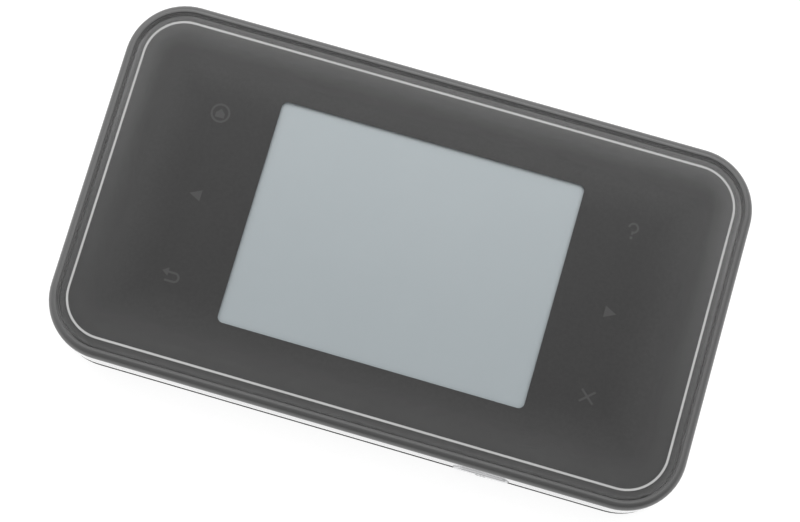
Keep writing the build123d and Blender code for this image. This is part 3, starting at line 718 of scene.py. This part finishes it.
class HotspotFaceSettings(bpy.types.PropertyGroup):
    """Colours and gloss of the face."""

    film: colour_field("Film", "Dark print behind the lens", (0.0235, 0.0235, 0.0235))
    film_edge: colour_field("Film edge", "The same print near the thin outline", (0.045, 0.045, 0.045))
    border: colour_field(
        "Film border", "Print between the thin outline and the bezel", (0.052, 0.052, 0.052)
    )
    symbols: colour_field("Symbols", "Smoky ink of the touch symbols", (0.043, 0.043, 0.043))
    outline: colour_field("Outline", "Thin line let into the lens", (0.36, 0.36, 0.357))
    outline_corner: length_field("Outline corner", "Corner radius of the thin outline", 0.00665)
    display: colour_field("Display", "Unlit display", (0.29, 0.323, 0.338))
    display_roughness: share_field("Display roughness", "How matt the display's surface is", 0.35)
    lens_ior: share_field("Lens index", "How strongly the lens mirrors the room", 1.45, 3.0)
    lens_roughness: share_field("Lens roughness", "How soft the lens's reflections are", 0.05)


class HotspotCaseSettings(bpy.types.PropertyGroup):
    """Colours and gloss of the casing."""

    bezel: colour_field("Bezel", "Dark satin rim round the lens", (0.034, 0.034, 0.034))
    # Painted light: the paler tone of the groove's wall stands in for light that the lens's edge lets
    # in.
    bezel_groove_light: colour_field(
        "Bezel groove", "The rim's inner wall beside the lens", (0.055, 0.055, 0.055)
    )
    bezel_roughness: share_field("Bezel roughness", "How matt the rim is", 0.36)
    silver: colour_field("Silver", "Polished side band and power button", (0.68, 0.68, 0.69))
    silver_roughness: share_field("Silver roughness", "How matt the band is", 0.12)
    cover: colour_field("Cover", "Removable back cover", (0.03, 0.03, 0.031))
    tub: colour_field("Tub", "Inner housing", (0.024, 0.024, 0.025))
    rubber: colour_field("Rubber", "Feet, foam and gaskets", (0.026, 0.026, 0.026))


class HotspotInsideSettings(bpy.types.PropertyGroup):
    """Colours and sizes of what the cover hides."""

    wrap: colour_field("Battery wrap", "Film round the battery", (0.045, 0.047, 0.052))
    label: colour_field("Battery label", "Printed panel on the battery", (0.5, 0.51, 0.52))
    label_ink: colour_field("Label ink", "Print on the labels", (0.06, 0.07, 0.09))
    label_margin: length_field("Label margin", "Distance of the label from the battery's edges", 0.004)
    label_thickness: length_field("Label thickness", "Thickness of a printed label", 0.00004)
    board: colour_field("Board", "Solder mask", (0.02, 0.13, 0.07))
    steel: colour_field("Steel", "Shields, plates and sockets", (0.58, 0.58, 0.58))
    gold: colour_field("Gold", "Contacts", (0.82, 0.62, 0.3))
    copper: colour_field("Copper", "Antennas", (0.72, 0.42, 0.26))


class HotspotStageSettings(bpy.types.PropertyGroup):
    """Camera, floor and light."""

    distance: length_field("Camera distance", "From the middle of the face to the camera", 0.3226135)
    shift_right: length_field(
        "Aim right", "How far the face's middle stands right of the aim", 0.0002923
    )
    shift_up: length_field("Aim up", "How far the face's middle stands above the aim", 0.0014665)
    tilt: angle_field("Tilt", "Turn about the long axis", -8.91364752)
    yaw: angle_field("Yaw", "Turn about the short axis", -2.48268809)
    roll: angle_field("Roll", "Turn of the part in the picture", -16.35761605)
    focal_length: bpy.props.FloatProperty(
        name="Focal length", description="Camera lens", default=91.591, unit="CAMERA"
    )
    floor_size: length_field("Floor size", "Side of the floor", 4.0)
    floor: colour_field("Floor", "Paper that the part lies on", (0.92, 0.92, 0.92))
    floor_shade: share_field(
        "Floor shade", "How much the paper shows of the room's light and shadows", 0.22
    )
    floor_glow: share_field("Floor glow", "Even light through the paper from behind", 0.95, 5.0)
    room: share_field("Room light", "Brightness of the soft studio room", 1.5, 10.0)


# ---------------------------------------------------------------- operators


class HOTSPOT_OT_stage(bpy.types.Operator):
    """Set up the floor, the soft studio light and the camera"""

    bl_idname = "hotspot.stage"
    bl_label = "Stage"

    def execute(self, context):
        settings = context.scene.hotspot_stage
        self.lay_floor(context, settings)
        self.light_room(context, settings)
        self.place_camera(context, settings)
        return {"FINISHED"}

    def lay_floor(self, context, settings):
        """A sheet of paper under the part, in the plane of its feet."""
        mesh = bmesh.new()
        bmesh.ops.create_grid(mesh, x_segments=4, y_segments=4, size=settings.floor_size / 2)
        data = bpy.data.meshes.new("studio_floor")
        mesh.to_mesh(data)
        mesh.free()
        floor = bpy.data.objects.new("studio_floor", data)
        context.scene.collection.objects.link(floor)
        paper = studio_floor("Floor paper", settings.floor, settings.floor_shade, settings.floor_glow)
        data.materials.append(paper)

    def light_room(self, context, settings):
        """A soft studio room: bright ceiling and window, dimmer towards the back wall."""
        world = bpy.data.worlds.new("Studio room")
        world.use_nodes = True
        context.scene.world = world
        tree = world.node_tree
        tree.nodes.clear()
        look = add(tree, "ShaderNodeTexCoord").outputs["Generated"]
        way = add(tree, "ShaderNodeSeparateXYZ", {0: look}).outputs
        ceiling = ramp(tree, way["Z"], *CEILING)
        pane = ramp(tree, way["Y"], *WINDOW)
        window = maths(tree, "MULTIPLY", pane, ramp(tree, way["Z"], *WINDOW_SILL))
        back_wall = ramp(tree, way["Y"], *BACK_WALL)
        side_wall = ramp(tree, way["X"], *SIDE_WALL)
        level = maths(tree, "ADD", maths(tree, "ADD", ceiling, window), side_wall)
        level = maths(tree, "MULTIPLY", maths(tree, "SUBTRACT", level, back_wall), settings.room)
        glow = add(tree, "ShaderNodeBackground", {"Strength": level})
        end = tree.nodes.new("ShaderNodeOutputWorld")
        tree.links.new(glow.outputs[0], end.inputs["Surface"])
        context.scene.view_settings.view_transform = "Standard"

    def place_camera(self, context, settings):
        """A camera turned and set back from the middle of the face."""
        data = bpy.data.cameras.new("Camera")
        data.lens = settings.focal_length
        camera = bpy.data.objects.new("Camera", data)
        context.scene.collection.objects.link(camera)
        turn = Matrix.Rotation(settings.roll, 3, "Z") @ Matrix.Rotation(settings.tilt, 3, "X")
        turn = turn @ Matrix.Rotation(settings.yaw, 3, "Y")
        back = turn.transposed()
        away = back @ Vector((-settings.shift_right, -settings.shift_up, settings.distance))
        camera.matrix_world = Matrix.Translation(away + Vector((0.0, 0.0, CAD_HIGH.z))) @ back.to_4x4()
        context.scene.camera = camera


class HOTSPOT_OT_face(bpy.types.Operator):
    """Finish the lens, the printed film, the symbols and the thin outline"""

    bl_idname = "hotspot.face"
    bl_label = "Face"

    def execute(self, context):
        face = context.scene.hotspot_face
        lens = (face.lens_ior, face.lens_roughness)
        colours = (face.film, face.film_edge, face.border)
        dress("touch_lens", clear_lens("Clear lens", *lens, face.outline_corner))
        dress("lens_mask", printed_mask("Dark film print", *colours, face.outline_corner, lens))
        dress("key_symbols", printed_ink("Smoky ink", face.symbols, lens))
        dress("accent_ring", moulded_plastic("Pale outline", face.outline, 0.35, wear=0.0, dust=0.05))
        return {"FINISHED"}


class HOTSPOT_OT_display(bpy.types.Operator):
    """Finish the display, its tray, its foam frame and its ribbon"""

    bl_idname = "hotspot.display"
    bl_label = "Display"

    def execute(self, context):
        face = context.scene.hotspot_face
        case = context.scene.hotspot_case
        inside = context.scene.hotspot_inside
        lens = (face.lens_ior, face.lens_roughness)
        dress("lcd_panel", display_face("Unlit display", face.display, face.display_roughness, lens))
        dress("lcd_frame", sheet_metal("Display tray steel", inside.steel, 0.35))
        dress("lcd_gasket", soft_rubber("Display foam", case.rubber, 0.85))
        dress("lens_adhesive", soft_rubber("Foam tape", case.rubber, 0.8, 5000.0))
        dress("lcd_flex", moulded_plastic("Amber ribbon", AMBER, 0.3, coat=0.5))
        dress("flex_connector", moulded_plastic("Ivory connector", IVORY, 0.5))
        return {"FINISHED"}


class HOTSPOT_OT_bezel(bpy.types.Operator):
    """Finish the dark rim round the lens"""

    bl_idname = "hotspot.bezel"
    bl_label = "Bezel"

    def execute(self, context):
        case = context.scene.hotspot_case
        corner = context.scene.hotspot_face.outline_corner
        rim = satin_rim("Dark satin rim", case.bezel, case.bezel_groove_light, case.bezel_roughness, corner)
        dress("front_bezel", rim)
        return {"FINISHED"}


class HOTSPOT_OT_band(bpy.types.Operator):
    """Finish the silver side band and the power button, and print the button's mark"""

    bl_idname = "hotspot.band"
    bl_label = "Side band and power button"

    def execute(self, context):
        case = context.scene.hotspot_case
        silver = polished_silver("Polished silver", case.silver, case.silver_roughness)
        dress("side_band", silver)
        cap_roughness = case.silver_roughness + 0.08
        dress("power_button", polished_silver("Button silver", case.silver, cap_roughness))
        dress("switch_plunger", moulded_plastic("Ivory plunger", AGED_IVORY, 0.45))
        dress("power_switch", moulded_plastic("Switch body", BLACK_NYLON, 0.4))
        self.print_mark()
        return {"FINISHED"}

    def print_mark(self):
        """A broken ring with a bar in its gap, on the button's outer face."""
        low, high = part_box("power_button")
        radius = 0.72 * MM
        stroke = 0.2 * MM
        steps = 40
        gap = 4
        outer = circle(radius + stroke / 2, steps)
        inner = circle(radius - stroke / 2, steps)
        cap_middle = Vector(((low.x + high.x) / 2, low.y, (low.z + high.z) / 2))
        upright = Matrix.Translation(cap_middle) @ Matrix.Rotation(math.radians(90), 4, "X")
        mesh = bmesh.new()
        quarter = steps // 4
        sunk, proud = -0.02 * MM, 0.015 * MM
        hoop(mesh, outer, inner, sunk, proud, upright, quarter + gap, quarter + steps - gap)
        bar = [p + Vector((0.0, radius * 0.75)) for p in bar_outline(stroke, radius)]
        prism(mesh, bar, sunk, proud, upright)
        ink = moulded_plastic("Button ink", BUTTON_INK, 0.5, wear=0.0)
        new_piece("power_mark", mesh, ink, "power_button")


class HOTSPOT_OT_cover(bpy.types.Operator):
    """Finish the back cover and its feet, and stick the foam pad inside it"""

    bl_idname = "hotspot.cover"
    bl_label = "Back cover"

    def execute(self, context):
        case = context.scene.hotspot_case
        dress("back_cover", moulded_plastic("Cover grain", case.cover, 0.5, 4200.0, 0.00002, 0.3))
        dress("rubber_feet", soft_rubber("Foot rubber", case.rubber, 0.75))
        self.stick_pad()
        return {"FINISHED"}

    def stick_pad(self):
        """A thin foam pad that holds the battery still."""
        low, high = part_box("battery")
        mesh = bmesh.new()
        pad = rounded_rectangle((high.x - low.x) * 0.5, (high.y - low.y) * 0.35, 1.5 * MM)
        middle = Matrix.Translation(((low.x + high.x) / 2, (low.y + high.y) / 2, 0.0))
        pad_foot, pad_top = 1.48 * MM, 1.78 * MM
        prism(mesh, pad, pad_foot, pad_top, middle)
        foam = soft_rubber("Grey foam", GREY_FOAM, 0.9, 2600.0, 0.00006)
        new_piece("cover_pad", mesh, foam, "back_cover", 0.05 * MM)


class HOTSPOT_OT_tub(bpy.types.Operator):
    """Finish the inner tub, its screws and contacts, and add its markings"""

    bl_idname = "hotspot.tub"
    bl_label = "Inner tub"

    def execute(self, context):
        case = context.scene.hotspot_case
        inside = context.scene.hotspot_inside
        tub = moulded_plastic("Tub grain", case.tub, 0.55, 5000.0, 0.000016)
        dress("rear_housing", tub)
        dress("case_screws", sheet_metal("Zinc screw", darker(inside.steel, 0.2), 0.3))
        dress("battery_contacts", moulded_plastic("Contact block", BLACK_NYLON, 0.45))
        self.add_card_mark(tub)
        self.add_moisture_dot()
        return {"FINISHED"}

    def add_card_mark(self, tub):
        """A raised outline of the card beside its well, with its cut corner."""
        card_low, card_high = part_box("sim_card")
        tub_low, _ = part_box("rear_housing")
        shrink = 0.42
        half_x = (card_high.x - card_low.x) * shrink / 2
        half_y = (card_high.y - card_low.y) * shrink / 2
        cut = half_x * 0.45
        line = 0.16 * MM
        outlines = []
        for inset in (0.0, line):
            x, y = half_x - inset, half_y - inset
            corner = cut - inset * 0.4
            points = ((x, -y), (x, y - corner), (x - corner, y), (-x, y), (-x, -y))
            outlines.append([Vector(p) for p in points])
        mesh = bmesh.new()
        along = (tub_low.x + card_low.x) / 2 + 0.6 * MM
        place = Matrix.Translation((along, card_low.y + 6 * MM, 0.0))
        hoop(mesh, outlines[0], outlines[1], tub_low.z - 0.1 * MM, tub_low.z + 0.05 * MM, place)
        new_piece("card_mark", mesh, tub, "front_assembly")

    def add_moisture_dot(self):
        """The small paper dot that shows whether water got in."""
        card_low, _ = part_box("sim_card")
        tub_low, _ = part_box("rear_housing")
        radius = 1.6 * MM
        mesh = bmesh.new()
        place = Matrix.Translation(((tub_low.x + card_low.x) / 2 + 0.6 * MM, 0.0, 0.0))
        prism(mesh, circle(radius), tub_low.z - 0.06 * MM, tub_low.z + 0.02 * MM, place)
        paper = moulded_plastic("Dot paper", PAPER_WHITE, 0.8, 3000.0, 0.00002, wear=0.0)
        new_piece("moisture_dot", mesh, paper, "front_assembly")


class HOTSPOT_OT_battery(bpy.types.Operator):
    """Finish the battery and its contacts, and put on its label and polarity marks"""

    bl_idname = "hotspot.battery"
    bl_label = "Battery"

    def execute(self, context):
        inside = context.scene.hotspot_inside
        dress("battery", moulded_plastic("Battery wrap", inside.wrap, 0.38, 3000.0, 0.00001, coat=0.2))
        dress("battery_pads", sheet_metal("Gold pads", inside.gold, 0.25))
        self.stick_label(inside)
        self.print_polarity(inside)
        return {"FINISHED"}

    def stick_label(self, inside):
        """A printed panel on the battery's outer face, clear of the strip beside the contacts."""
        low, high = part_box("battery")
        margin = inside.label_margin
        bare_strip = 3 * MM
        length = high.x - low.x - 2 * margin
        width = high.y - low.y - 2 * margin - bare_strip
        mesh = bmesh.new()
        outline = rounded_rectangle(length, width, 1.2 * MM)
        middle = Vector(((low.x + high.x) / 2, (low.y + high.y) / 2 + bare_strip / 2, 0.0))
        place = Matrix.Translation(middle)
        prism(mesh, outline, low.z - inside.label_thickness, low.z + 0.02 * MM, place)
        reach = Vector((length / 2, width / 2, 0.0))
        corners = (middle - reach, middle + reach)
        paper = printed_label("Battery label", inside.label, inside.label_ink, *corners)
        new_piece("battery_label", mesh, paper, "battery")

    def print_polarity(self, inside):
        """A plus and a minus sign beside the first and the last contact."""
        low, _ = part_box("battery")
        pad_low, pad_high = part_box("battery_pads")
        mesh = bmesh.new()
        row = low.y + 2.9 * MM
        span, stroke, inset = 2.0 * MM, 0.45 * MM, 0.7 * MM
        for outline, x in (
            (cross_outline(span, stroke), pad_low.x + inset),
            (bar_outline(span, stroke), pad_high.x - inset),
        ):
            place = Matrix.Translation((x, row, 0.0))
            prism(mesh, outline, low.z - inside.label_thickness, low.z + 0.02 * MM, place)
        ink = moulded_plastic("Polarity ink", POLARITY_INK, 0.5, wear=0.0)
        new_piece("polarity_marks", mesh, ink, "battery")


class HOTSPOT_OT_card(bpy.types.Operator):
    """Finish the card and its socket"""

    bl_idname = "hotspot.card"
    bl_label = "Card and socket"

    def execute(self, context):
        inside = context.scene.hotspot_inside
        dress("sim_card", moulded_plastic("Card stock", CARD_WHITE, 0.45, 3500.0, 0.000006, wear=0.1))
        dress("sim_socket", sheet_metal("Socket steel", inside.steel, 0.28))
        return {"FINISHED"}


class HOTSPOT_OT_port(bpy.types.Operator):
    """Finish the USB socket and add the contacts on its tongue"""

    bl_idname = "hotspot.port"
    bl_label = "USB socket"

    def execute(self, context):
        inside = context.scene.hotspot_inside
        dress("usb_port", sheet_metal("Socket shell", inside.steel, 0.25))
        dress("usb_tongue", moulded_plastic("Socket tongue", BLACK_RESIN, 0.4, wear=0.0))
        self.lay_contacts(inside)
        return {"FINISHED"}

    def lay_contacts(self, inside):
        """Five flat contacts in a row on the tongue."""
        low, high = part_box("usb_tongue")
        count = 5
        pitch = 0.65 * MM
        mesh = bmesh.new()
        strip = bar_outline((high.x - low.x) * 0.8, 0.32 * MM)
        for index in range(count):
            y = (low.y + high.y) / 2 + (index - (count - 1) / 2) * pitch
            place = Matrix.Translation((low.x + (high.x - low.x) * 0.48, y, 0.0))
            prism(mesh, strip, low.z - 0.03 * MM, low.z + 0.02 * MM, place)
        gold = sheet_metal("Contact gold", inside.gold, 0.22)
        new_piece("usb_contacts", mesh, gold, "front_assembly")


class HOTSPOT_OT_boards(bpy.types.Operator):
    """Finish the circuit boards and what is soldered to them"""

    bl_idname = "hotspot.boards"
    bl_label = "Boards"

    def execute(self, context):
        inside = context.scene.hotspot_inside
        board = circuit_board("Board mask", inside.board, inside.gold)
        for node in ("main_board", "left_key_board", "right_key_board"):
            dress(node, board)
        shield = sheet_metal("Tin plate", inside.steel, 0.3)
        for node in ("modem_shield", "wifi_shield", "mid_plate"):
            dress(node, shield)
        dress("radio_chips", moulded_plastic("Chip package", BLACK_RESIN, 0.45, wear=0.0))
        dress("power_components", moulded_plastic("Ferrite", FERRITE, 0.6))
        white = moulded_plastic("White light well", WELL_WHITE, 0.5, wear=0.0)
        for node in ("left_key_reflector", "right_key_reflector"):
            dress(node, white)
        dress("key_leds", moulded_plastic("Lamp resin", LAMP_YELLOW, 0.25, wear=0.0, coat=0.5))
        return {"FINISHED"}


class HOTSPOT_OT_antennas(bpy.types.Operator):
    """Finish the antennas and their springs"""

    bl_idname = "hotspot.antennas"
    bl_label = "Antennas"

    def execute(self, context):
        inside = context.scene.hotspot_inside
        copper = sheet_metal("Antenna copper", inside.copper, 0.3)
        for node in ("main_antenna", "diversity_antenna", "wifi_antenna"):
            dress(node, copper)
        dress("antenna_springs", sheet_metal("Spring gold", inside.gold, 0.25))
        return {"FINISHED"}


STEPS = (
    HOTSPOT_OT_stage,
    HOTSPOT_OT_face,
    HOTSPOT_OT_display,
    HOTSPOT_OT_bezel,
    HOTSPOT_OT_band,
    HOTSPOT_OT_cover,
    HOTSPOT_OT_tub,
    HOTSPOT_OT_battery,
    HOTSPOT_OT_card,
    HOTSPOT_OT_port,
    HOTSPOT_OT_boards,
    HOTSPOT_OT_antennas,
)

SETTINGS = {
    "hotspot_face": HotspotFaceSettings,
    "hotspot_case": HotspotCaseSettings,
    "hotspot_inside": HotspotInsideSettings,
    "hotspot_stage": HotspotStageSettings,
}


class HOTSPOT_PT_sidebar(bpy.types.Panel):
    """The steps, in the order that they are run"""

    bl_idname = "HOTSPOT_PT_sidebar"
    bl_label = "Mobile hotspot"
    bl_space_type = "VIEW_3D"
    bl_region_type = "UI"
    bl_category = "Hotspot"

    def draw(self, context):
        for step in STEPS:
            self.layout.operator(step.bl_idname)
        for name, group in SETTINGS.items():
            box = self.layout.box()
            for prop in group.__annotations__:
                box.prop(getattr(context.scene, name), prop)


def register():
    """Registers the settings, the operators and the panel."""
    for name, group in SETTINGS.items():
        bpy.utils.register_class(group)
        setattr(bpy.types.Scene, name, bpy.props.PointerProperty(type=group))
    for step in STEPS:
        bpy.utils.register_class(step)
    bpy.utils.register_class(HOTSPOT_PT_sidebar)


def unregister():
    """Takes back what register did."""
    bpy.utils.unregister_class(HOTSPOT_PT_sidebar)
    for step in reversed(STEPS):
        bpy.utils.unregister_class(step)
    for name, group in reversed(SETTINGS.items()):
        delattr(bpy.types.Scene, name)
        bpy.utils.unregister_class(group)


def main():
    """Builds the scene."""
    register()
    for step in STEPS:
        area, name = step.bl_idname.split(".")
        getattr(getattr(bpy.ops, area), name)()


if __name__ == "__main__":
    main()
